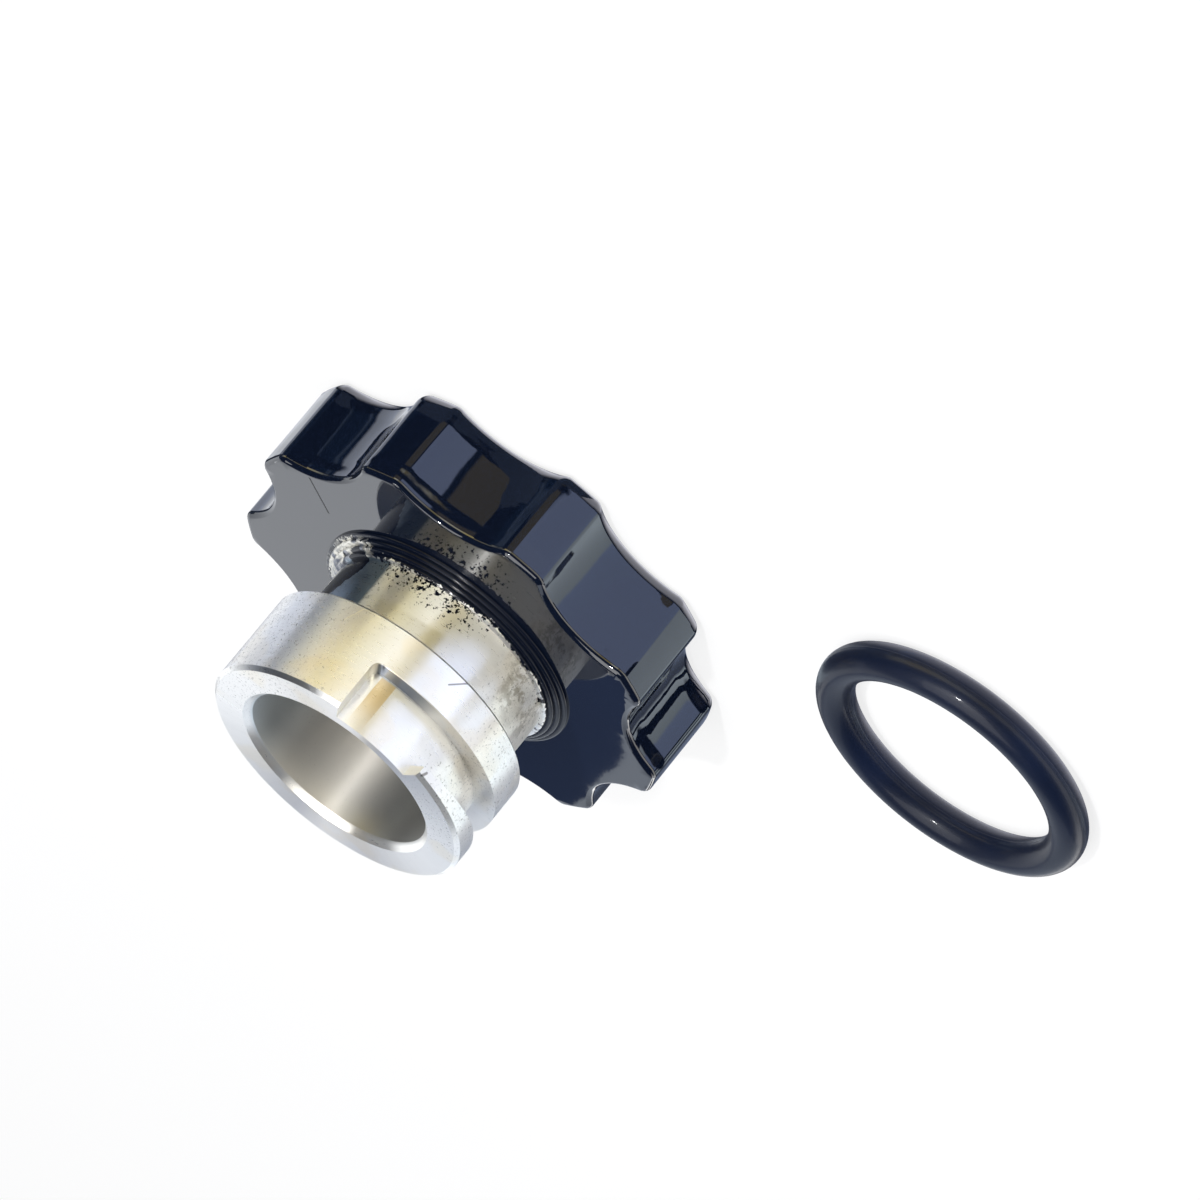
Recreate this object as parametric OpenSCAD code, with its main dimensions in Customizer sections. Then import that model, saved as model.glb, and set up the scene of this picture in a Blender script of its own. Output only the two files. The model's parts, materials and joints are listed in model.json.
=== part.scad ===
// Twist-lock oil filler cap with its O-ring taken off and laid beside it.
// The cap stands on the outer face of its head, neck upwards, and z = 0 is that face.
// Lengths are in millimetres and angles in degrees.

/* [Head] */
// Diameter over the tips of the lobes
head_d = 65; // [60:0.5:72]
// Thickness of the head
head_h = 14.4; // [12:0.1:20]
// Number of finger lobes
lobe_count = 9; // [7:1:10]
// Radius of each finger scallop
scallop_r = 12.6; // [11.5:0.1:13.5]
// How far a scallop cuts in from the tips
scallop_depth = 4.1; // [3.2:0.1:5]
// Corner radius where a scallop meets a tip
lobe_round = 2.2; // [2:0.1:2.8]
// Rounding of the rim on the outer face
rim_round = 2; // [1:0.1:2]
// Rounding of the rim on the neck side
under_round = 0.9; // [0.5:0.1:1.5]
// Direction of the first lobe
lobe_turn = 26.9; // [0:0.1:40]

/* [Neck] */
// Diameter of the neck that the O-ring sits on
neck_d = 32; // [31:0.1:33]
// Length of the neck, from the head to the collar
neck_l = 10.6; // [9:0.1:14]
// Wall between the neck and the hollow
neck_wall = 2.4; // [2:0.1:4]
// Depth of the hollow from the open end
bore_depth = 26; // [18:0.5:30]
// Width of the chamfer round the mouth of the hollow
mouth_chamfer = 0.9; // [0.3:0.1:1.2]

/* [Foot rings] */
// Number of turned ridges round the foot of the neck
foot_rings = 4; // [2:1:5]
// How much wider each ridge is than the next
ring_step = 0.75; // [0.5:0.05:0.9]
// Height of each ridge
ring_rise = 0.5; // [0.4:0.05:0.6]
// Rounding of each ridge's edge
ring_round = 0.3; // [0.1:0.05:0.35]

/* [Locking collar] */
// Diameter of the collar
collar_d = 38.5; // [37.5:0.1:40]
// Length of the collar
collar_l = 13.8; // [12:0.1:18]
// Chamfer of the collar's edge on the neck side
collar_chamfer = 0.35; // [0.1:0.05:0.6]
// Chamfer of the collar's edge at the open end
end_chamfer = 0.55; // [0.3:0.05:0.8]
// Depth of the far wall of the slot from the open end
slot_depth = 8.1; // [7.5:0.1:9]
// Direction of the wall where the entry begins
slot_turn = -75; // [-90:1:-60]
// Arc of the entry notch
entry_arc = 40; // [30:1:45]
// Arc of the whole slot, entry included
slot_arc = 140; // [125:1:160]
// Thickness of the lip where the lug first slides in
lip_lead = 1.5; // [1:0.1:2]
// Thickness of the lip past its ramp
lip_full = 3.4; // [2.8:0.1:3.6]
// Arc over which the lip thickens
ramp_arc = 44; // [40:1:50]
// Corner radius left by the slot cutter
cutter_r = 1.1; // [0.5:0.1:1.5]

/* [O-ring] */
// Diameter of the rubber section
seal_section = 5; // [4.5:0.1:5.4]
// How much the ring stretches to fit the neck
seal_stretch = 2; // [1:0.1:3]
// Where the loose ring lies, across
seal_x = -58; // [-70:1:-56]
// Where the loose ring lies, along
seal_y = -44; // [-50:1:-40]

/* [Hidden] */
$fn = 48;
cut = 1;

head_r = head_d / 2;
rim = min(rim_round, lobe_round);
under = min(under_round, lobe_round);
lobe_pitch = 360 / lobe_count;

// Centres of a scallop and of a rounded corner, as distances from the axis
scallop_centre = head_r - scallop_depth + scallop_r;
corner_centre = head_r - lobe_round;
corner_reach = scallop_r + lobe_round;

// Angles of the triangle between the axis, a corner and its scallop
axis_angle = acos((pow(scallop_centre, 2) + pow(corner_centre, 2) - pow(corner_reach, 2))
    / (2 * scallop_centre * corner_centre));
corner_angle = acos((pow(corner_centre, 2) + pow(corner_reach, 2) - pow(scallop_centre, 2))
    / (2 * corner_centre * corner_reach));
tip_half_arc = lobe_pitch / 2 - axis_angle;
corner_arc = 180 - corner_angle;
corner_span = lobe_round + 3 * cut;
flare_r = scallop_r + rim + cut;
// A hair over the exact size, so that a rounded end crosses its walls in a clean line
ease = 0.01;

neck_r = neck_d / 2;
bore_r = neck_r - neck_wall;
collar_r = collar_d / 2;
collar_z = head_h + neck_l;
end_z = collar_z + collar_l;

slot_z = end_z - slot_depth;
// The floor of the slot is level with the neck
slot_floor_r = neck_r;
slot_out_r = collar_r + cut;
slot_stop = slot_turn - slot_arc;
channel_h = slot_depth - lip_full;
// The ramp is a plane tilted about the radial line at its middle
ramp_tilt = atan((lip_full - lip_lead) / (2 * collar_r * sin(ramp_arc / 2)));
corner_turn = asin(cutter_r / collar_r);

// A wall's edge in section: the wall is at x = 0 and the metal lies at negative x.
// The roundings stand past the two faces by the overshoot, which the faces then cut off.
module rim_section(depth, overshoot) {
    translate([-depth, 0]) square([depth - rim, head_h]);
    intersection() {
        translate([-depth, 0]) square([depth + cut, head_h]);
        union() {
            translate([-rim - cut / 2, rim - overshoot])
                square([rim + cut / 2, head_h - rim - under + 2 * overshoot]);
            translate([-rim - cut / 2, head_h / 2]) square([rim + cut / 2 - under, head_h / 2]);
            translate([-rim, rim - overshoot]) circle(rim);
            translate([-under, head_h - under + overshoot]) circle(under);
        }
    }
}

// A post with the head's rounded rims
module rimmed_post(r, overshoot) {
    rotate_extrude() intersection() {
        translate([r, 0]) rim_section(r, overshoot);
        square([r, head_h]);
    }
}

// Spool shape that flares at its ends, so that the scallop's rims come out rounded
module scallop_cutter() {
    rotate(lobe_pitch / 2) translate([scallop_centre, 0, 0]) rotate_extrude() difference() {
        translate([0, -cut]) square([flare_r, head_h + 2 * cut]);
        translate([scallop_r, 0]) mirror([1, 0]) rim_section(flare_r, 2 * ease);
    }
}

// Wedge about a corner's centre, less the rounded corner that stays
module corner_cutter() {
    tip_reach = corner_span / cos(corner_arc / 2);
    rotate(tip_half_arc) translate([corner_centre, 0, 0]) difference() {
        translate([0, 0, -cut]) linear_extrude(head_h + 2 * cut) polygon([
            [0, 0],
            [corner_span, 0],
            [tip_reach * cos(corner_arc / 2), tip_reach * sin(corner_arc / 2)],
            [corner_span * cos(corner_arc), corner_span * sin(corner_arc)]
        ]);
        rimmed_post(lobe_round + ease, 3 * ease);
    }
}

module head() {
    difference() {
        rimmed_post(head_r, ease);
        for (i = [0 : lobe_count - 1]) rotate(lobe_turn + i * lobe_pitch) scallop_cutter();
        for (i = [0 : lobe_count - 1]) rotate(lobe_turn + i * lobe_pitch) {
            corner_cutter();
            mirror([0, 1, 0]) corner_cutter();
        }
    }
}

// A ridge in section: its rounded edge, then the foot of the wall above it
function ridge(i) = let (r = neck_r + ring_step * (foot_rings - i), z = head_h + ring_rise * (i + 1)) [
    for (a = [0 : 30 : 90]) [r - ring_round * (1 - cos(a)), z - ring_round * (1 - sin(a))],
    [r - ring_step, z]
];

// The turned part in section, from inside the head to the open end
module neck_section() {
    polygon([
        [0, head_h / 2],
        [neck_r + ring_step * foot_rings, head_h / 2],
        for (i = [0 : foot_rings - 1]) each ridge(i),
        [neck_r, collar_z],
        [collar_r - collar_chamfer, collar_z],
        [collar_r, collar_z + collar_chamfer],
        [collar_r, end_z - end_chamfer],
        [collar_r - end_chamfer, end_z],
        [0, end_z]
    ]);
}

module hollow() {
    translate([0, 0, end_z - bore_depth]) cylinder(r = bore_r, h = bore_depth + cut);
    translate([0, 0, end_z - mouth_chamfer])
        cylinder(r1 = bore_r, r2 = bore_r + mouth_chamfer + cut, h = mouth_chamfer + cut);
}

// Wedge of the ring that the slot is cut from, with some spare on both its radii
module sector(from, arc, low, high, spare) {
    rotate(from) rotate_extrude(angle = arc) translate([slot_floor_r - spare, low])
        square([slot_out_r - slot_floor_r + 2 * spare, high - low]);
}

// The metal that stays between the channel and the open end
module lip() {
    intersection() {
        sector(slot_stop - entry_arc / 4, slot_arc - entry_arc * 3 / 4, end_z - lip_full,
            end_z + 2 * cut, 2 * cut);
        rotate(slot_turn - entry_arc - ramp_arc / 2)
            translate([0, 0, end_z - (lip_lead + lip_full) / 2])
                rotate([ramp_tilt, 0, 0])
                    translate([-slot_out_r, -2 * slot_out_r, 0])
                        cube([3 * slot_out_r, 4 * slot_out_r, 2 * slot_out_r]);
    }
}

// The square corner of the entry, as a round cutter leaves it
module entry_corner() {
    rotate(slot_turn - corner_turn) translate([0, 0, slot_z + cutter_r]) {
        rotate([0, 90, 0]) cylinder(r = cutter_r + ease, h = slot_out_r + cut);
        translate([0, -cutter_r, 0]) cube([slot_out_r + cut, 2 * cutter_r, slot_depth]);
    }
}

// The J-shaped slot: in through the entry, then clockwise behind the lip to a round stop
module locking_slot() {
    intersection() {
        sector(0, 360, slot_z - cut, end_z + cut, 0);
        union() {
            difference() {
                sector(slot_stop, slot_arc - corner_turn, slot_z, end_z + cut, cut);
                lip();
            }
            entry_corner();
            rotate(slot_stop) translate([0, 0, slot_z + channel_h / 2])
                rotate([0, 90, 0]) cylinder(d = channel_h + 2 * ease, h = slot_out_r + cut);
        }
    }
}

module cap_body() {
    difference() {
        union() {
            color([0.05, 0.06, 0.09]) head();
            color([0.82, 0.82, 0.8]) rotate_extrude() neck_section();
        }
        hollow();
        locking_slot();
    }
}

// The O-ring, lying flat on the surface that the cap stands on
module seal_ring() {
    color([0.06, 0.06, 0.08]) translate([seal_x, seal_y, seal_section / 2])
        rotate_extrude()
            translate([(neck_d - seal_stretch + seal_section) / 2, 0]) circle(d = seal_section);
}

cap_body();
seal_ring();
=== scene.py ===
"""Twist-lock oil filler cap and its loose O-ring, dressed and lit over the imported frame."""

import json
import math

import bpy
from mathutils import Matrix, Vector

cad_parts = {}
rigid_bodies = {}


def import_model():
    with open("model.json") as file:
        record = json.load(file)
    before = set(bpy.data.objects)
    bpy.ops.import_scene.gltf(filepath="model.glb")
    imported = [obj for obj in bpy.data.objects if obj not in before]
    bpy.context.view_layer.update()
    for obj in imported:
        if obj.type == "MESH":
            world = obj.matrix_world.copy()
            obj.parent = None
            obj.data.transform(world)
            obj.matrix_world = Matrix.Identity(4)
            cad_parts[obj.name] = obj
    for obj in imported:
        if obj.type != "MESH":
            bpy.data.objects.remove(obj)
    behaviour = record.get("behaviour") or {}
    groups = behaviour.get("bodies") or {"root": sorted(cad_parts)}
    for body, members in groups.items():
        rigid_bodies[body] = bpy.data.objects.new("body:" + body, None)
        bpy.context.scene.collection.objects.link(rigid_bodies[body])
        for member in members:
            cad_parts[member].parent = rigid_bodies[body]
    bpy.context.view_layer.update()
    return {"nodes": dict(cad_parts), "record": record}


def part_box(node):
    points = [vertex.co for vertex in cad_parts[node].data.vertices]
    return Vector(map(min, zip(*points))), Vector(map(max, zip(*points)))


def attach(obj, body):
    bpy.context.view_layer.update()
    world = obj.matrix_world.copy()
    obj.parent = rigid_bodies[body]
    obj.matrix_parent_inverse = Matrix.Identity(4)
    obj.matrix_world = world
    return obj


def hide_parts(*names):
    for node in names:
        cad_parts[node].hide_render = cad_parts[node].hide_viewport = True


bl_info = {
    "name": "Oil filler cap",
    "version": (1, 0, 0),
    "blender": (4, 5, 0),
    "location": "View3D > Sidebar > Filler cap",
    "description": "Finishes and stages the oil filler cap and its O-ring",
    "category": "Object",
}

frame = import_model()
MM = 0.001

# How the copies of the solids are made: closeness at which corners are joined, and the sharpest smooth edge
MERGE_DISTANCE = 2e-6
SMOOTH_ANGLE = math.radians(30)

# Heights and radii that the finishes follow, in millimetres
MOUNTS = {mount["name"]: mount for mount in frame["record"]["mounts"]}
UNDERSIDE = MOUNTS["sealing_face"]["pos_m"][2] / MM
COLLAR_R = MOUNTS["locking_collar"]["dims"]["r_mm"]
END_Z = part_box("cap_body")[1].z / MM
NECK_R = 16.0
COLLAR_Z = 25.0
SLOT_WALL_Z = 30.7
HOLLOW_FLOOR = 12.8
RING_LOW, RING_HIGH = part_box("seal_ring")
RING_MIDDLE = (RING_LOW.z + RING_HIGH.z) / 2 / MM

# Zones round the cap's axis: direction and half arc, in degrees
FLAKED_ZONE = (-6, 32)
CRUMPLED_ZONE = (-8, 34)
SPRAYED_ZONE = (-70, 40)
PITTED_ZONES = ((-25, 62), (-145, 40))
# Painted shade on the slot's far wall
SLOT_SHADE_ZONE = (-85, 24)
# Painted warm reflection on the slot's floor
SLOT_FLOOR_WARM_REFLECTION_ZONE = (-83, 4.5)
# Painted dark reflection on the edge at the open end
END_EDGE_DARK_REFLECTION_ZONE = (-43, 36)
DIRT_ZONE = (-142, 30)
# Painted dark reflection on the neck
NECK_DARK_REFLECTION_ZONE = (-27, 22)
# Painted cool reflection and painted shade on two sides of the hollow
BORE_PAINTED_COOL_REFLECTION_ZONE = (10, 60)
BORE_PAINTED_SHADE_ZONE = (165, 60)
SOFT_RIM_ZONE = (-50, 52)
SOFTEST_RIM_ZONE = (-176, 36)

# Fades along the cap, as heights in millimetres: where each is 0, then where it is 1
# Fade of the painted warm reflection on the slot's floor
SLOT_FLOOR_WARM_REFLECTION_FADE = (39.5, 33.0)
DIRT_FADE = (23.5, 20.0)
CRUMPLE_FADE = (20.0, 16.5)
FLAKED_FADE = (UNDERSIDE + 2.9, UNDERSIDE + 2.3)
THIN_COAT_FADE = (UNDERSIDE + 0.05, UNDERSIDE + 0.2)
OUTER_RIM_FADE = (4.0, 1.2)
NECK_SIDE_RIM_FADE = (UNDERSIDE - 3.4, UNDERSIDE - 0.8)

# Tones on the bare metal, among them painted shade and painted reflections
WARM_METAL = (0.80, 0.74, 0.62)
PIT = (0.12, 0.11, 0.10)
# Painted shade on the slot's far wall
SLOT_SHADE = (0.07, 0.09, 0.13)
# Painted warm reflection on the slot's floor
SLOT_FLOOR_WARM_REFLECTION = (0.60, 0.46, 0.24)
# Painted dark reflection on the edge at the open end
END_EDGE_DARK_REFLECTION = (0.20, 0.21, 0.23)
FLAKE_DARK = (0.13, 0.14, 0.17)
FLAKE_PALE = (0.60, 0.58, 0.52)
DIRT = (0.44, 0.41, 0.35)
# Painted dark reflection on the neck
NECK_DARK_REFLECTION = (0.13, 0.18, 0.23)
WARM_BORE = (0.70, 0.67, 0.61)
# Painted cool reflection and painted shade on two sides of the hollow
BORE_PAINTED_COOL_REFLECTION = (0.58, 0.63, 0.66)
BORE_PAINTED_SHADE = (0.34, 0.34, 0.33)

# Scratches on the bare collar: both ends and a width in millimetres, and the colour
SCRATCHES = (
    ((-4.0, -18.83, 27.2), (-5.82, -18.35, 25.2), 0.07, PIT),
    ((11.31, -15.57, 28.0), (9.91, -16.5, 24.7), 0.07, (1.0, 0.97, 0.85)),
    ((-8.6, -17.2, 38.4), (-8.9, -17.1, 37.6), 0.12, PIT),
)

# The scratch in the coat and the lump of coat on the neck: both ends and a width, in millimetres
COAT_SCRATCH = ((26.2, -11.4, UNDERSIDE), (21.6, -6.5, UNDERSIDE), 0.10)
COAT_LUMP = ((15.8, -2.8, 22.5), (14.8, -6.0, 17.4), 1.7)

# Heights of the reliefs in the materials, in metres
COAT_RELIEF = 0.0005
METAL_RELIEF = 0.00006
RUBBER_RELIEF = 0.0001

# Cards that show only in the gloss: name, centre and two sides in metres, turn and tilt in degrees, colour
# and strength. A card lies flat at a tilt of 0 and stands up at 90.
FLAG_BLACK = (0.01, 0.02, 0.05)
CARDS = (
    ("Right_backdrop", (0.36, 0.45, 0.30), (0.70, 0.60), 0, 90, (0.93, 0.96, 1.0), 1.6),
    ("Left_backdrop", (-0.3375, 0.40, 0.30), (0.60, 0.60), 0, 90, (0.80, 0.88, 1.0), 1.12),
    ("Middle_backdrop", (-0.015, 0.46, 0.30), (0.12, 0.60), 0, 90, (0.35, 0.5, 1.0), 0.26),
    ("Front_card", (-0.022, -0.058, -0.0065), (0.042, 0.015), 0, 90, (0.53, 0.64, 1.0), 2.25),
    ("Left_flag", (-0.040, -0.0086, -0.004), (0.0020, 0.032), 90, 90, FLAG_BLACK, 1.0),
    ("Left_flag_2", (-0.040, -0.0050, -0.004), (0.0014, 0.032), 90, 90, FLAG_BLACK, 1.0),
    ("Right_flag", (0.075, -0.047, -0.02), (0.031, 0.08), 45, 90, FLAG_BLACK, 1.0),
    ("Ring_screen", (-0.034, -0.027, 0.002), (0.010, 0.016), 90, 90, (0.79, 0.90, 1.0), 2.1),
    ("Under_card", (0.031, -0.044, -0.02), (0.072, 0.032), 0, 0, (0.50, 0.65, 1.0), 0.3),
)

# The room in the gloss of the head's walls: bearing in degrees from the camera's side, positive to +X, and
# radiance
ROOM = (
    (-180, (0.20, 0.24, 0.34)),
    (-124, (0.20, 0.24, 0.34)),
    (-118, (1.65, 1.9, 2.1)),
    (-77, (1.65, 1.9, 2.1)),
    (-73, (1.15, 1.42, 2.2)),
    (1, (1.25, 1.5, 2.3)),
    (3, (0.02, 0.04, 0.08)),
    (9, (0.02, 0.04, 0.08)),
    (12, (0.50, 0.42, 0.25)),
    (62, (0.42, 0.36, 0.22)),
    (66, (0.02, 0.05, 0.12)),
    (69, (0.22, 0.30, 0.46)),
    (73, (0.02, 0.05, 0.12)),
    (93, (0.02, 0.05, 0.12)),
    (97, (0.22, 0.30, 0.46)),
    (101, (0.02, 0.05, 0.12)),
    (105, (0.02, 0.05, 0.12)),
    (110, (1.25, 1.35, 1.6)),
    (136, (1.1, 1.2, 1.45)),
    (144, (1.35, 1.4, 1.5)),
    (162, (1.35, 1.4, 1.5)),
    (168, (0.20, 0.24, 0.34)),
)

# The same for the band above it, which only the duller metal picks up
UPPER_ROOM = (
    (-180, (0.9, 0.93, 0.98)),
    (-160, (3.2, 3.2, 3.2)),
    (-118, (3.2, 3.2, 3.2)),
    (-100, (2.2, 2.2, 2.1)),
    (-70, (3.4, 3.3, 3.0)),
    (-10, (2.8, 2.65, 2.1)),
    (6, (2.2, 1.8, 0.6)),
    (14, (2.4, 2.0, 0.8)),
    (22, (4.0, 3.9, 3.3)),
    (44, (4.0, 3.7, 2.4)),
    (56, (4.0, 3.2, 1.0)),
    (70, (3.6, 3.0, 1.4)),
    (82, (2.6, 2.5, 1.8)),
    (92, (0.7, 0.72, 0.65)),
    (100, (0.12, 0.15, 0.20)),
    (165, (0.12, 0.15, 0.20)),
)

# A colour ramp holds 0 to 1, so the rooms' radiance is divided by this and multiplied back
ROOM_LEVEL = 4.0
# Edges of the rooms as heights in degrees: where each is 0, then where it is 1
ROOM_BOTTOM = (-30.5, -29)
ROOM_TOP = (-16, -18)
UPPER_BOTTOM = (-12, -9)
UPPER_TOP = (14, 6)
WHITE_BELOW = (-32, -52)
DARK_ROOM = (0.012, 0.022, 0.05)
WHITE_FLOOR = (2.4, 2.4, 2.65)

WHITE = (1.0, 1.0, 1.0)
COOL_WHITE = (0.92, 0.96, 1.0)
SKY = (0.95, 0.97, 1.0)
FLOOR_SIZE = (8.0, 8.0)
# Share of the floor that shows as plain white, so that the rest keeps the shadow
FLOOR_WHITE = 0.8


class StageSettings(bpy.types.PropertyGroup):
    """The floor, the lamps and the camera."""

    floor_colour: bpy.props.FloatVectorProperty(
        name="Floor colour", description="Colour of the floor", subtype="COLOR", size=3,
        default=(0.86, 0.86, 0.87))
    key_power: bpy.props.FloatProperty(
        name="Key power", description="Power of the large soft lamp overhead", subtype="POWER",
        default=8.0)
    fill_power: bpy.props.FloatProperty(
        name="Fill power", description="Power of the soft lamp beside the camera", subtype="POWER",
        default=3.0)
    spark_power: bpy.props.FloatProperty(
        name="Spark power", description="Power of the small lamp that makes the bright specks",
        subtype="POWER", default=4.5)
    sky_strength: bpy.props.FloatProperty(
        name="Sky strength", description="Strength of the even light from all round", default=0.3,
        min=0.0)
    azimuth: bpy.props.FloatProperty(
        name="View azimuth", description="Direction that the camera looks from, round the cap",
        subtype="ANGLE", default=math.radians(0.66))
    elevation: bpy.props.FloatProperty(
        name="View elevation", description="Height of the camera's direction above the floor",
        subtype="ANGLE", default=math.radians(23.29))
    roll: bpy.props.FloatProperty(
        name="View roll", description="Turn of the camera about its own axis", subtype="ANGLE",
        default=math.radians(-140.85))
    aim: bpy.props.FloatVectorProperty(
        name="Aim", description="Point in the middle of the picture", subtype="TRANSLATION",
        unit="LENGTH", size=3, default=(-0.0116, -0.0533, 0.0200))
    distance: bpy.props.FloatProperty(
        name="Distance", description="Distance of the camera from the aim", unit="LENGTH",
        default=1.0994)
    lens: bpy.props.FloatProperty(
        name="Lens", description="Focal length in millimetres on a 36 mm wide sensor", unit="CAMERA",
        default=270.0)


class CapSettings(bpy.types.PropertyGroup):
    """The finishes of the cap."""

    coat_colour: bpy.props.FloatVectorProperty(
        name="Coat colour", description="Colour of the gloss coat on the head", subtype="COLOR", size=3,
        default=(0.003, 0.005, 0.012))
    metal_colour: bpy.props.FloatVectorProperty(
        name="Metal colour", description="Colour of the bare machined metal", subtype="COLOR", size=3,
        default=(0.87, 0.86, 0.83))
    coat_rise: bpy.props.FloatProperty(
        name="Coat rise", description="How far the coat reaches up the neck", unit="LENGTH",
        default=1.9 * MM)
    spray_reach: bpy.props.FloatProperty(
        name="Spray reach", description="How far specks of coat stray past its edge", unit="LENGTH",
        default=4.5 * MM)
    metal_roughness: bpy.props.FloatProperty(
        name="Metal roughness", description="Roughness of the machined metal", subtype="FACTOR",
        default=0.24, min=0.0, max=1.0)


class RingSettings(bpy.types.PropertyGroup):
    """The finish of the O-ring."""

    rubber_colour: bpy.props.FloatVectorProperty(
        name="Rubber colour", description="Colour of the rubber", subtype="COLOR", size=3,
        default=(0.003, 0.006, 0.018))
    rubber_roughness: bpy.props.FloatProperty(
        name="Rubber roughness", description="Roughness of the rubber", subtype="FACTOR",
        default=0.4, min=0.0, max=1.0)


class Link:
    """A socket inside a material. Arithmetic on it adds the Math nodes."""

    def __init__(self, paint, socket):
        self.paint = paint
        self.socket = socket

    def __add__(self, other):
        return self.paint.maths("ADD", self, other)

    __radd__ = __add__

    def __sub__(self, other):
        return self.paint.maths("SUBTRACT", self, other)

    def __rsub__(self, other):
        return self.paint.maths("SUBTRACT", other, self)

    def __mul__(self, other):
        return self.paint.maths("MULTIPLY", self, other)

    __rmul__ = __mul__

    def __truediv__(self, other):
        return self.paint.maths("DIVIDE", self, other)

    def __rtruediv__(self, other):
        return self.paint.maths("DIVIDE", other, self)

    def __pow__(self, other):
        return self.paint.maths("POWER", self, other)

    def __rpow__(self, other):
        return self.paint.maths("POWER", other, self)


class Paint:
    """A node tree, and the few things that the finishes build it from."""

    def __init__(self, tree):
        self.tree = tree
        tree.nodes.clear()

    def add(self, kind, settings=None, values=None, output=0):
        """A node of that kind, with its settings first and then its sockets' values or links."""
        node = self.tree.nodes.new(kind)
        for name, value in (settings or {}).items():
            if name == "stops":
                self.set_stops(node.color_ramp, value)
            else:
                setattr(node, name, value)
        for name, value in (values or {}).items():
            if isinstance(value, Link):
                self.tree.links.new(value.socket, node.inputs[name])
            else:
                node.inputs[name].default_value = value
        return Link(self, node.outputs[output]) if node.outputs else None

    @staticmethod
    def set_stops(ramp, stops):
        while len(ramp.elements) < len(stops):
            ramp.elements.new(1.0)
        for element, (place, colour) in zip(ramp.elements, stops):
            element.position = place
            element.color = (*colour, 1.0)

    def maths(self, operation, first, second):
        return self.add("ShaderNodeMath", {"operation": operation}, {0: first, 1: second})

    def maximum(self, first, second):
        return self.maths("MAXIMUM", first, second)

    def vectors(self, operation, first, second, output="Vector"):
        """Vector Math on two vectors. A dot product or distance comes out at Value."""
        return self.add("ShaderNodeVectorMath", {"operation": operation}, {0: first, 1: second}, output)

    def scaled(self, vector, factor):
        return self.add("ShaderNodeVectorMath", {"operation": "SCALE"}, {0: vector, "Scale": factor})

    def vector(self, x, y, z):
        return self.add("ShaderNodeCombineXYZ", values={"X": x, "Y": y, "Z": z})

    def split(self, vector):
        """The x, y and z of a vector."""
        x = self.add("ShaderNodeSeparateXYZ", values={"Vector": vector}, output="X")
        return [Link(self, socket) for socket in x.socket.node.outputs]

    def step(self, value, low, high):
        """0 below low and 1 above high, smooth between. With high under low it falls instead."""
        return self.add("ShaderNodeMapRange", {"interpolation_type": "SMOOTHSTEP"},
                        {"Value": value, "From Min": low, "From Max": high})

    def band(self, value, low, high, blur):
        """1 from low to high, fading to 0 over the blur on each side."""
        return self.step(value, low - blur, low) * self.step(value, high + blur, high)

    def mix(self, factor, first, second):
        """A colour between two colours."""
        return self.add("ShaderNodeMix", {"data_type": "RGBA"}, {0: factor, 6: first, 7: second}, output=2)

    def tint(self, base, mask, colour):
        """The base, turned to a fixed colour where the mask is 1."""
        return self.mix(mask, base, rgb(colour))

    def noise(self, vector, scale, detail=2.0, roughness=0.5):
        return self.add("ShaderNodeTexNoise", values={
            "Vector": vector, "Scale": scale, "Detail": detail, "Roughness": roughness})

    def near(self, point, start, end, width):
        """1 within a scratch's width of the line from start to end, fading to 0 at twice that."""
        start, end = Vector(start), Vector(end)
        along = end - start
        offset = self.vectors("SUBTRACT", point, start)
        share = self.vectors("DOT_PRODUCT", offset, along / along.length_squared, output="Value")
        share = self.add("ShaderNodeClamp", values={"Value": share})
        foot = self.scaled(along, share)
        gap = self.vectors("DISTANCE", offset, foot, output="Value")
        return self.step(gap, 2 * width, width)

    def ray(self, kind):
        """1 on rays of that kind."""
        return self.add("ShaderNodeLightPath", output=f"Is {kind} Ray")

    def bump(self, height, relief, strength=1.0):
        """A normal from a height, whose 1 stands for the relief in metres."""
        return self.add("ShaderNodeBump", values={
            "Strength": strength, "Distance": relief, "Height": height})

    def principled(self, values):
        return self.add("ShaderNodeBsdfPrincipled", values=values)

    def blend(self, factor, first, second):
        """A shader between two shaders."""
        return self.add("ShaderNodeMixShader", values={0: factor, 1: first, 2: second})

    def surface(self, shader, output="ShaderNodeOutputMaterial"):
        """Ends the tree with its output."""
        self.add(output, values={"Surface": shader})


def new_material(name):
    """A material and the paint for its nodes."""
    material = bpy.data.materials.new(name)
    material.use_nodes = True
    return material, Paint(material.node_tree)


def rgb(colour):
    return (*colour, 1.0)


class Place:
    """Where a point is: millimetres, distance from the cap's axis and direction round it."""

    def __init__(self, paint):
        self.paint = paint
        corner = paint.add("ShaderNodeTexCoord", output="Object")
        self.point = paint.scaled(corner, 1 / MM)
        self.x, self.y, self.z = paint.split(self.point)
        self.radius = (self.x * self.x + self.y * self.y) ** 0.5
        self.round_x = self.x / self.radius
        self.round_y = self.y / self.radius

    def facing(self, azimuth, half_arc):
        """1 in a direction round the axis, falling to 0 at half an arc to each side. In degrees."""
        turn = math.radians(azimuth)
        cosine = self.round_x * math.cos(turn) + self.round_y * math.sin(turn)
        return self.paint.step(cosine, math.cos(math.radians(half_arc)), 1.0)

    def outside_hollow(self):
        """1 from the neck's outside outwards, and 0 in the hollow."""
        return self.paint.step(self.radius, NECK_R - 1.6, NECK_R - 1.5)


def flake_cracks(paint, place):
    """Distance from the cracks between the flakes where the coat has crumpled off the foot."""
    warped = paint.vectors("ADD", place.point, paint.noise(place.point, scale=0.5) * 2.5)
    return paint.add("ShaderNodeTexVoronoi", {"feature": "DISTANCE_TO_EDGE"},
                     {"Vector": warped, "Scale": 0.5})


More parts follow.
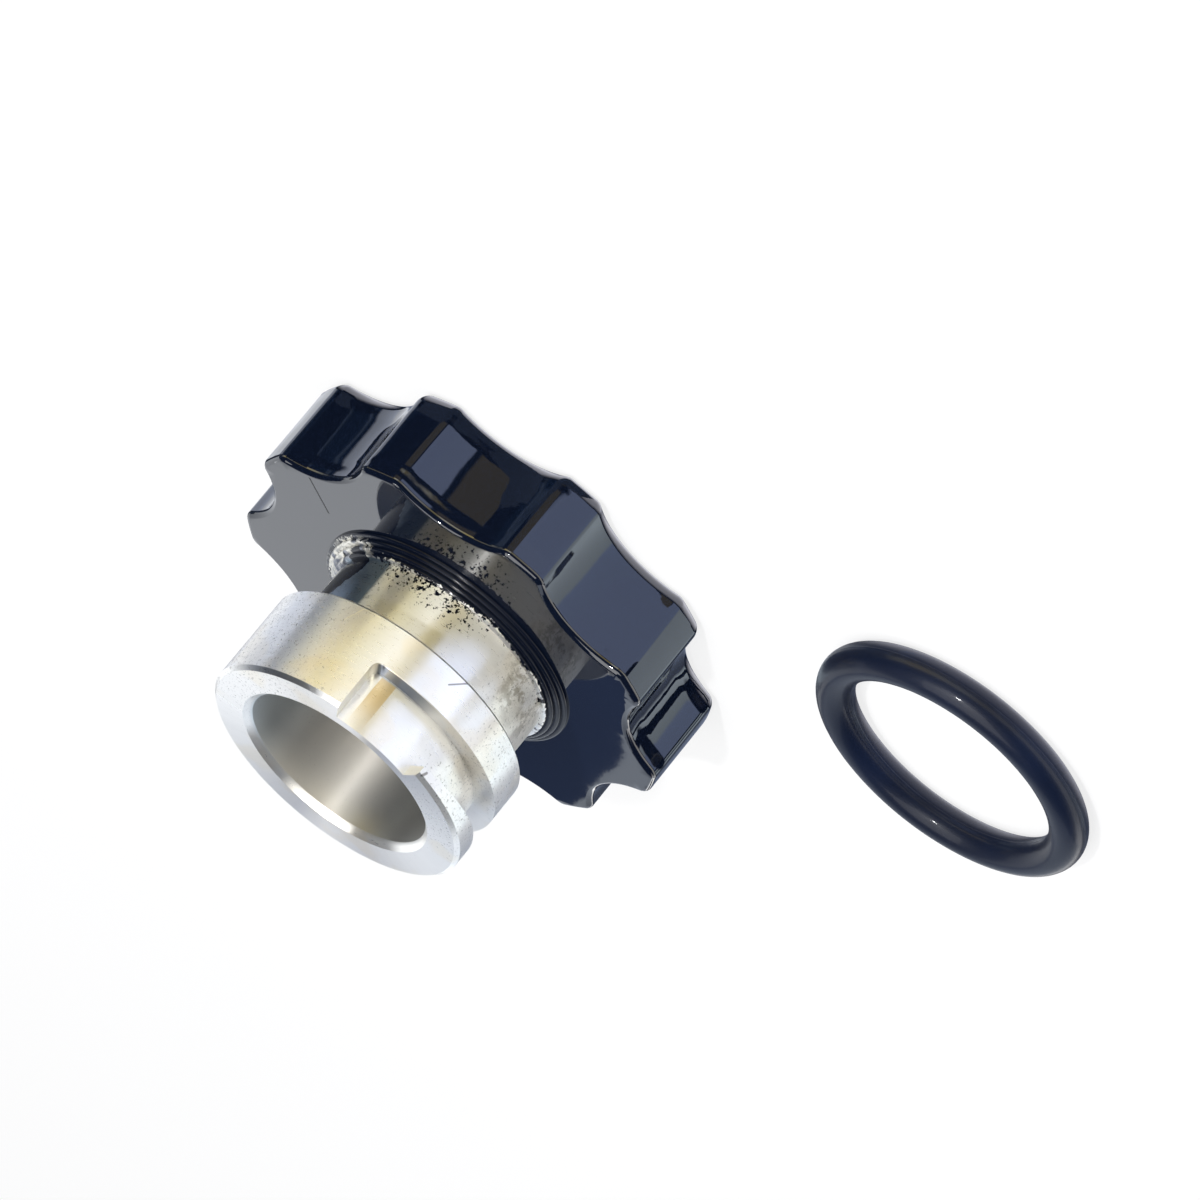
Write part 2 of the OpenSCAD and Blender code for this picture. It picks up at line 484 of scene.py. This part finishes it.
def coat_mask(paint, place, cap, cracks):
    """1 where the coat lies: the head and the foot of the neck, with a ragged edge and stray specks."""
    ragged = paint.noise(place.point, scale=1.1, detail=3.0, roughness=0.6) - 0.5
    broad = paint.noise(place.point, scale=0.16, detail=1.0) - 0.5
    flaked = place.facing(*FLAKED_ZONE)
    edge = UNDERSIDE + cap.coat_rise / MM + ragged * 1.5 + broad * 1.2 - flaked * 1.2
    above = place.z - edge
    film = paint.step(above, 0.05, -0.05)

    # Where it has flaked off, only chips of it still hold above the lowest ridge
    blobs = paint.noise(place.point, scale=0.7, detail=3.0, roughness=0.6)
    chips = paint.maximum(paint.step(blobs, 0.44, 0.42), paint.step(cracks, 0.10, 0.05))
    bare = paint.step(flaked, 0.1, 0.2) * paint.step(place.z, UNDERSIDE + 0.45, UNDERSIDE + 0.6)
    film = film * (1 - bare * (1 - chips))

    # Specks get rarer away from the edge
    reach = cap.spray_reach / MM
    specks = paint.noise(place.point, scale=1.9, detail=3.0, roughness=0.7)
    threshold = 0.61 + above / reach * 0.17 - place.facing(*SPRAYED_ZONE) * 0.12
    stray = paint.step(specks - threshold, 0.0, 0.02) * paint.step(above, reach, reach * 0.8)
    lump = paint.near(place.point, *COAT_LUMP) + ragged * 1.4
    stray = paint.maximum(stray, paint.step(lump, 0.55, 0.65))

    outer_face = paint.step(place.z, HOLLOW_FLOOR - 0.1, HOLLOW_FLOOR - 0.2)
    return paint.maximum(film, stray) * paint.maximum(place.outside_hollow(), outer_face)


def coat_shader(paint, place, cap):
    """The gloss coat: a little wavy on the head's walls, softer at their rims and thin on the foot."""
    scratch = paint.near(place.point, *COAT_SCRATCH)
    colour = paint.tint(rgb(cap.coat_colour), scratch, (0.0, 0.0, 0.0))

    walls = paint.step(place.z, UNDERSIDE - 0.1, UNDERSIDE - 0.4)
    swell = paint.noise(place.point, scale=0.11, detail=1.0)
    peel = paint.noise(place.point, scale=0.9, detail=1.0)
    rims = paint.step(place.z, *OUTER_RIM_FADE) + paint.step(place.z, *NECK_SIDE_RIM_FADE)
    rims = rims * (0.09 + place.facing(*SOFT_RIM_ZONE) * 0.27 + place.facing(*SOFTEST_RIM_ZONE) * 0.34)
    height = swell * walls * 0.45 + peel * (walls * 0.010 + 0.002) - rims * walls
    bump = paint.bump(height, COAT_RELIEF)

    thick = paint.principled({
        "Base Color": colour, "Roughness": 0.035 + scratch * 0.5, "IOR": 1.55, "Normal": bump})
    thin = paint.principled({"Base Color": colour, "Roughness": 0.16, "IOR": 1.27, "Normal": bump})
    return paint.blend(paint.step(place.z, *THIN_COAT_FADE), thick, thin)


def slot_painted_shade_and_reflections(paint, place, metal):
    """Painted shade on the slot's far wall, a painted warm reflection on its floor and a painted dark
    reflection along the edge at the open end.
    """
    wall = paint.band(place.z, SLOT_WALL_Z - 0.2, SLOT_WALL_Z + 0.1, 0.2)
    wall = wall * paint.band(place.radius, NECK_R + 0.1, COLLAR_R - 0.45, 0.2)
    # Painted shade: the slot's far wall turns dark blue-grey towards one side
    metal = paint.tint(metal, wall * place.facing(*SLOT_SHADE_ZONE) * 0.95, SLOT_SHADE)

    # Painted reflection: a warm strip along one side of the slot's floor, fading towards the open end
    warm_reflection = paint.step(place.facing(*SLOT_FLOOR_WARM_REFLECTION_ZONE), 0.0, 0.25)
    warm_reflection = warm_reflection * paint.band(place.radius, NECK_R - 0.1, NECK_R + 0.1, 0.1)
    warm_reflection = warm_reflection * paint.step(place.z, SLOT_WALL_Z + 0.1, SLOT_WALL_Z + 0.3)
    warm_reflection = warm_reflection * paint.step(place.z, *SLOT_FLOOR_WARM_REFLECTION_FADE)
    metal = paint.tint(metal, warm_reflection * 0.85, SLOT_FLOOR_WARM_REFLECTION)

    # Painted dark reflection: the outer edge at the open end is darkened on one side
    edge = paint.step(place.radius, COLLAR_R - 0.6, COLLAR_R - 0.5)
    edge = edge * paint.step(place.z, END_Z - 0.6, END_Z - 0.5)
    return paint.tint(metal, edge * place.facing(*END_EDGE_DARK_REFLECTION_ZONE), END_EDGE_DARK_REFLECTION)


def neck_stains_and_dark_reflection(paint, place, metal):
    """Patchy metal where the coat has flaked off the foot, then dirt and a painted dark reflection on the
    neck.
    """
    flaked = place.facing(*FLAKED_ZONE) * paint.step(place.z, *FLAKED_FADE)
    pale = paint.step(paint.noise(place.point, scale=0.42, detail=1.0), 0.45, 0.55)
    patches = paint.mix(pale, rgb(FLAKE_DARK), rgb(FLAKE_PALE))
    metal = paint.mix(paint.step(flaked, 0.05, 0.2), metal, patches)

    on_neck = paint.step(place.radius, NECK_R + 0.6, NECK_R + 0.3)
    dirt = paint.step(paint.noise(place.point, scale=0.5, detail=4.0, roughness=0.7), 0.46, 0.6)
    dirt = dirt * place.facing(*DIRT_ZONE) * paint.step(place.z, *DIRT_FADE)
    metal = paint.tint(metal, dirt * on_neck, DIRT)
    # Painted reflection: a dark slate patch on one side of the neck
    neck_dark_reflection = paint.step(place.facing(*NECK_DARK_REFLECTION_ZONE), 0.1, 0.35)
    neck_dark_reflection = neck_dark_reflection * paint.step(place.z, COLLAR_Z + 0.2, COLLAR_Z - 0.2)
    return paint.tint(metal, neck_dark_reflection * on_neck * 0.92, NECK_DARK_REFLECTION)


def metal_shader(paint, place, cap, cracks):
    """Bare turned metal, with its streaks, pits, stains and scratches, painted shade and painted
    reflections, and a duller hollow with a painted cool reflection on one side and painted shade on the
    other.
    """
    around = paint.vector(place.round_x * 6, place.round_y * 6, place.z * 9)
    streaks = paint.noise(around, scale=1.0, detail=3.0, roughness=0.6)
    colour = paint.mix(streaks, rgb(cap.metal_colour), rgb([c * 0.86 for c in cap.metal_colour]))
    warmth = paint.step(paint.noise(place.point, scale=0.12), 0.5, 0.62)
    colour = paint.tint(colour, warmth * 0.5, WARM_METAL)
    colour = slot_painted_shade_and_reflections(paint, place, colour)
    colour = neck_stains_and_dark_reflection(paint, place, colour)
    for start, end, width, tone in SCRATCHES:
        colour = paint.tint(colour, paint.near(place.point, start, end, width) * 0.75, tone)

    hollow = paint.step(place.radius, NECK_R - 1.7, NECK_R - 2.2)
    hollow = hollow * paint.step(place.z, END_Z - 0.4, END_Z - 1.1)
    # Painted reflection and painted shade: the hollow is cooler on one side and dimmer on the other
    inside = paint.tint(rgb(WARM_BORE), place.facing(*BORE_PAINTED_COOL_REFLECTION_ZONE), BORE_PAINTED_COOL_REFLECTION)
    inside = paint.tint(inside, place.facing(*BORE_PAINTED_SHADE_ZONE), BORE_PAINTED_SHADE)
    colour = paint.mix(hollow, colour, inside)

    pitted = paint.maximum(*[place.facing(*zone) for zone in PITTED_ZONES])
    pits = paint.noise(place.point, scale=2.6, detail=5.0, roughness=0.75)
    pits = paint.step(pits, 0.62 - pitted * 0.07, 0.72 - pitted * 0.05) * (0.25 + pitted * 0.6)
    colour = paint.tint(colour, pits, PIT)

    crumple = paint.noise(place.point, scale=0.42, detail=1.0) + cracks * 0.5
    crumple = crumple * place.facing(*CRUMPLED_ZONE) * paint.step(place.z, *CRUMPLE_FADE)
    height = streaks * 0.35 - pits * 0.8 + crumple * place.outside_hollow() * 30
    return paint.principled({
        "Base Color": colour, "Metallic": 0.85, "Normal": paint.bump(height, METAL_RELIEF, 0.35),
        "Anisotropic": 0.9, "Anisotropic Rotation": 0.25,
        "Roughness": cap.metal_roughness + streaks * 0.1 + pits * 0.2 + hollow * 0.15})


def cap_finish(cap):
    """Gloss black coat over machined metal."""
    material, paint = new_material("Coated billet")
    place = Place(paint)
    cracks = flake_cracks(paint, place)
    coat = coat_mask(paint, place, cap, cracks)
    bare = metal_shader(paint, place, cap, cracks)
    paint.surface(paint.blend(coat, bare, coat_shader(paint, place, cap)))
    return material


def rubber_finish(ring):
    """Smooth moulded rubber with a faint parting line round its outside."""
    material, paint = new_material("Moulded rubber")
    place = Place(paint)
    grain = paint.noise(place.point, scale=3.0, detail=3.0, roughness=0.6)
    bloom = paint.noise(place.point, scale=0.08)
    seam = paint.band(place.z, RING_MIDDLE - 0.04, RING_MIDDLE + 0.04, 0.12)
    colour = paint.mix(paint.step(bloom, 0.4, 0.7) * 0.5, rgb(ring.rubber_colour),
                       rgb([c * 1.7 for c in ring.rubber_colour]))
    bump = paint.bump(grain * 0.15 + seam, RUBBER_RELIEF, 0.3)
    paint.surface(paint.principled({
        "Base Color": colour, "IOR": 1.25, "Normal": bump, "Coat Weight": 0.1, "Coat Roughness": 0.08,
        "Roughness": ring.rubber_roughness + grain * 0.08 - bloom * 0.05}))
    return material


def merged_copy(node, name):
    """A copy of a CAD node with its loose triangles joined, shaded smooth round its curves."""
    bpy.ops.object.select_all(action="DESELECT")
    source = frame["nodes"][node]
    source.select_set(True)
    bpy.context.view_layer.objects.active = source
    bpy.ops.object.duplicate()
    piece = bpy.context.active_object
    piece.name = name
    piece.data.name = name
    for key in list(piece.keys()):
        del piece[key]
    bpy.ops.object.parent_clear(type="CLEAR")
    bpy.ops.mesh.customdata_custom_splitnormals_clear()
    bpy.ops.object.mode_set(mode="EDIT")
    bpy.ops.mesh.select_all(action="SELECT")
    bpy.ops.mesh.remove_doubles(threshold=MERGE_DISTANCE)
    bpy.ops.object.mode_set(mode="OBJECT")
    bpy.ops.object.shade_smooth_by_angle(angle=SMOOTH_ANGLE)
    even = piece.modifiers.new("Even shading", "WEIGHTED_NORMAL")
    even.keep_sharp = True
    bpy.ops.object.modifier_apply(modifier=even.name)
    return piece


def dress(piece, node, material):
    """The piece gets its finish and takes the CAD node's place."""
    piece.data.materials.clear()
    piece.data.materials.append(material)
    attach(piece, "root")
    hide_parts(node)


def flat_card(name, centre, size, material, turn=0, tilt=0):
    """A thin flat card for the stage, turned and tilted in degrees."""
    bpy.ops.object.select_all(action="DESELECT")
    bpy.ops.mesh.primitive_plane_add(size=1.0, location=centre,
                                     rotation=(math.radians(tilt), 0.0, math.radians(turn)))
    card = bpy.context.active_object
    card.name = name
    card.scale = (*size, 1.0)
    bpy.ops.object.transform_apply(location=True, rotation=True, scale=True)
    card.data.materials.append(material)
    return card


def glow(name, colour, strength):
    """An even light of its own, for a card."""
    material, paint = new_material(name)
    paint.surface(paint.add("ShaderNodeEmission", values={"Color": rgb(colour), "Strength": strength}))
    return material


def only_in_gloss(card):
    """The card shows in reflections and nowhere else."""
    card.visible_camera = False
    card.visible_diffuse = False
    card.visible_transmission = False
    card.visible_volume_scatter = False
    card.visible_shadow = False


def soft_lamp(name, place, side, power, colour):
    """A square lamp that faces the cap."""
    bpy.ops.object.light_add(type="AREA", location=place)
    lamp = bpy.context.active_object
    lamp.name = name
    lamp.data.shape = "SQUARE"
    lamp.data.size = side
    lamp.data.energy = power
    lamp.data.color = colour
    lamp.rotation_euler = (-Vector(place)).to_track_quat("-Z", "Y").to_euler()
    return lamp


def floor_material(colour):
    """Pale floor that reads as white to the camera and in gloss, and still keeps a soft shadow."""
    material, paint = new_material("Pale floor")
    seen = paint.maximum(paint.ray("Camera"), paint.ray("Glossy"))
    seen = paint.maximum(seen, paint.ray("Transmission"))
    matte = paint.add("ShaderNodeBsdfDiffuse", values={"Color": rgb(colour)})
    white = paint.add("ShaderNodeEmission", values={"Color": rgb(WHITE), "Strength": 1.0})
    paint.surface(paint.blend(seen * FLOOR_WHITE, matte, white))
    return material


def gloss_room(paint):
    """What the gloss sees: two bands of room in the dark, and a white floor below."""
    direction = paint.add("ShaderNodeTexCoord", output="Generated")
    x, y, z = paint.split(direction)
    bearing = paint.maths("ARCTAN2", x, y * -1)
    place = bearing / (2 * math.pi) + 0.5

    def round_the_room(table):
        stops = [((b + 180) / 360, [c / ROOM_LEVEL for c in colour]) for b, colour in table]
        walls = paint.add("ShaderNodeValToRGB", {"stops": stops}, {"Fac": place})
        return paint.scaled(walls, ROOM_LEVEL)

    def past(edge):
        return paint.step(z, *[math.sin(math.radians(height)) for height in edge])

    room = paint.mix(past(ROOM_BOTTOM) * past(ROOM_TOP), rgb(DARK_ROOM), round_the_room(ROOM))
    room = paint.mix(past(UPPER_BOTTOM) * past(UPPER_TOP), room, round_the_room(UPPER_ROOM))
    return paint.tint(room, past(WHITE_BELOW), WHITE_FLOOR)


def light_world(strength):
    """White behind the part, the room in its gloss, and an even light on everything else."""
    world = bpy.data.worlds.new("Studio")
    world.use_nodes = True
    world.cycles.sampling_method = "NONE"
    bpy.context.scene.world = world
    paint = Paint(world.node_tree)
    even = [c * strength for c in SKY]
    colour = paint.mix(paint.ray("Glossy"), rgb(even), gloss_room(paint))
    colour = paint.tint(colour, paint.ray("Camera"), WHITE)
    light = paint.add("ShaderNodeBackground", values={"Color": colour})
    paint.surface(light, "ShaderNodeOutputWorld")


def place_camera(stage):
    """The photograph's view: the cap stands on its head, so the camera is rolled."""
    back = Vector((math.sin(stage.azimuth) * math.cos(stage.elevation),
                   -math.cos(stage.azimuth) * math.cos(stage.elevation),
                   math.sin(stage.elevation)))
    bpy.ops.object.camera_add(location=Vector(stage.aim) + back * stage.distance)
    camera = bpy.context.active_object
    level = (-back).to_track_quat("-Z", "Y").to_matrix()
    camera.rotation_euler = (level @ Matrix.Rotation(stage.roll, 3, "Z")).to_euler()
    camera.data.sensor_width = 36.0
    camera.data.lens = stage.lens
    camera.data.clip_start = 0.05
    camera.data.clip_end = 50.0
    bpy.context.scene.camera = camera


class FILLERCAP_OT_stage(bpy.types.Operator):
    """Lay the floor, hang the lamps and set up the camera"""

    bl_idname = "fillercap.stage"
    bl_label = "Stage"

    def execute(self, context):
        stage = context.scene.filler_stage
        floor = flat_card("Floor", (0.0, 0.0, 0.0), FLOOR_SIZE, floor_material(stage.floor_colour))
        floor.visible_glossy = False
        light_world(stage.sky_strength)
        soft_lamp("Key", (0.15, -0.25, 1.0), 0.8, stage.key_power, WHITE)
        fill = soft_lamp("Fill", (-0.7, -0.7, 0.5), 0.5, stage.fill_power, COOL_WHITE)
        fill.visible_glossy = False
        soft_lamp("Spark", (0.25, -0.55, 0.7), 0.05, stage.spark_power, WHITE)
        place_camera(stage)
        return {"FINISHED"}


class FILLERCAP_OT_cards(bpy.types.Operator):
    """Lay out the cards that show in the gloss and in the metal"""

    bl_idname = "fillercap.cards"
    bl_label = "Reflection cards"

    def execute(self, context):
        for name, centre, size, turn, tilt, colour, strength in CARDS:
            only_in_gloss(flat_card(name, centre, size, glow(name, colour, strength), turn, tilt))
        return {"FINISHED"}


class FILLERCAP_OT_cap(bpy.types.Operator):
    """Finish the cap: gloss black head, bare neck and collar"""

    bl_idname = "fillercap.cap"
    bl_label = "Cap"

    def execute(self, context):
        piece = merged_copy("cap_body", "filler_cap")
        dress(piece, "cap_body", cap_finish(context.scene.filler_cap))
        return {"FINISHED"}


class FILLERCAP_OT_ring(bpy.types.Operator):
    """Finish the loose O-ring"""

    bl_idname = "fillercap.ring"
    bl_label = "O-ring"

    def execute(self, context):
        piece = merged_copy("seal_ring", "o_ring")
        dress(piece, "seal_ring", rubber_finish(context.scene.filler_ring))
        return {"FINISHED"}


class FILLERCAP_PT_panel(bpy.types.Panel):
    """Steps and settings of the filler cap"""

    bl_idname = "FILLERCAP_PT_panel"
    bl_label = "Filler cap"
    bl_space_type = "VIEW_3D"
    bl_region_type = "UI"
    bl_category = "Filler cap"

    def draw(self, context):
        scene = context.scene
        column = self.layout.column()
        for step in STEPS:
            column.operator(step.bl_idname)
        for settings in (scene.filler_stage, scene.filler_cap, scene.filler_ring):
            for name in settings.__annotations__:
                column.prop(settings, name)


SETTINGS = (StageSettings, CapSettings, RingSettings)
STEPS = (FILLERCAP_OT_stage, FILLERCAP_OT_cards, FILLERCAP_OT_cap, FILLERCAP_OT_ring)


def register():
    for item in (*SETTINGS, *STEPS, FILLERCAP_PT_panel):
        bpy.utils.register_class(item)
    bpy.types.Scene.filler_stage = bpy.props.PointerProperty(type=StageSettings)
    bpy.types.Scene.filler_cap = bpy.props.PointerProperty(type=CapSettings)
    bpy.types.Scene.filler_ring = bpy.props.PointerProperty(type=RingSettings)


def unregister():
    del bpy.types.Scene.filler_ring
    del bpy.types.Scene.filler_cap
    del bpy.types.Scene.filler_stage
    for item in reversed((*SETTINGS, *STEPS, FILLERCAP_PT_panel)):
        bpy.utils.unregister_class(item)


def main():
    register()
    bpy.context.scene.view_settings.view_transform = "Standard"
    bpy.ops.fillercap.stage()
    bpy.ops.fillercap.cards()
    bpy.ops.fillercap.cap()
    bpy.ops.fillercap.ring()


if __name__ == "__main__":
    main()
